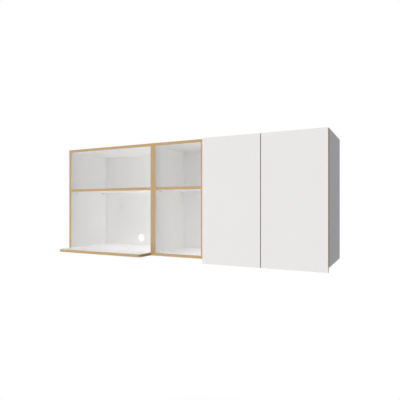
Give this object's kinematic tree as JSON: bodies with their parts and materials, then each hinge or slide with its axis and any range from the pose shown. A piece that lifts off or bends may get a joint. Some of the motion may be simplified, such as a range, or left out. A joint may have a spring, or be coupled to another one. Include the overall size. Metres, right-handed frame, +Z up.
{
  "type": "kitchen wall cabinet",
  "caption": "Wall-hung kitchen cabinet: open microwave unit with projecting bottom, narrow open unit and a handleless two-door unit, on wall rails.",
  "frame": {"origin": "on the wall plane, at the middle of the screw line of the middle unit's wall rail", "axes": "+X to the right seen from the front, +Y into the wall, +Z up"},
  "size_m": [1.5, 0.442, 0.62],
  "materials": {
    "white_melamine": "satin white melamine face",
    "white_hardboard": "satin white painted hardboard",
    "oak_edging": "matt oak-tone edging",
    "nickel_plate": "nickel plate",
    "zinc_plate": "zinc plate",
    "beech": "plain beech",
    "bumper_rubber": "translucent soft plastic",
    "white_plastic": "satin moulded white plastic"
  },
  "bodies": {
    "carcass": {"microwave_left_side": "white_melamine", "microwave_right_side": "white_melamine", "microwave_top": "white_melamine", "microwave_bottom": "white_melamine", "microwave_shelf": "white_melamine", "microwave_back": "white_hardboard", "microwave_front_bands": "oak_edging", "microwave_bottom_band": "oak_edging", "narrow_left_side": "white_melamine", "narrow_right_side": "white_melamine", "narrow_top": "white_melamine", "narrow_bottom": "white_melamine", "narrow_shelf": "white_melamine", "narrow_back": "white_hardboard", "narrow_front_bands": "oak_edging", "door_unit_left_side": "white_melamine", "door_unit_right_side": "white_melamine", "door_unit_top": "white_melamine", "door_unit_bottom": "white_melamine", "door_unit_shelf": "white_melamine", "door_unit_back": "white_hardboard", "door_unit_front_bands": "oak_edging", "hinge_arms": "nickel_plate", "hinge_plates": "nickel_plate", "hinge_plate_screws": "zinc_plate", "hinge_arm_screws": "zinc_plate", "microwave_shelf_pins": "white_plastic", "narrow_shelf_pins": "white_plastic", "door_unit_shelf_pins": "white_plastic", "microwave_wall_rail": "zinc_plate", "narrow_wall_rail": "zinc_plate", "door_unit_wall_rail": "zinc_plate", "hanger_brackets": "zinc_plate", "hanger_hooks": "zinc_plate", "hanger_adjusting_screws": "zinc_plate", "hanger_fixing_screws": "zinc_plate", "corner_cams": "zinc_plate", "corner_cam_bolts": "zinc_plate", "corner_dowels": "beech", "unit_joining_screws": "zinc_plate"},
    "left_door": {"left_door": "white_melamine", "left_door_bands": "oak_edging", "left_door_bumpers": "bumper_rubber", "left_hinge_cups": "nickel_plate", "left_hinge_pins": "zinc_plate", "left_hinge_cup_screws": "zinc_plate"},
    "right_door": {"right_door": "white_melamine", "right_door_bands": "oak_edging", "right_door_bumpers": "bumper_rubber", "right_hinge_cups": "nickel_plate", "right_hinge_pins": "zinc_plate", "right_hinge_cup_screws": "zinc_plate"}
  },
  "joints": [
    {"name": "left_door_swing", "type": "hinge", "parent": "carcass", "child": "left_door", "pos_m": [0.1583, -0.354, -0.255], "axis": [0, 0, -1], "range_deg": [0, 95]},
    {"name": "right_door_swing", "type": "hinge", "parent": "carcass", "child": "right_door", "pos_m": [0.7417, -0.354, -0.255], "axis": [0, 0, 1], "range_deg": [0, 95]}
  ]
}
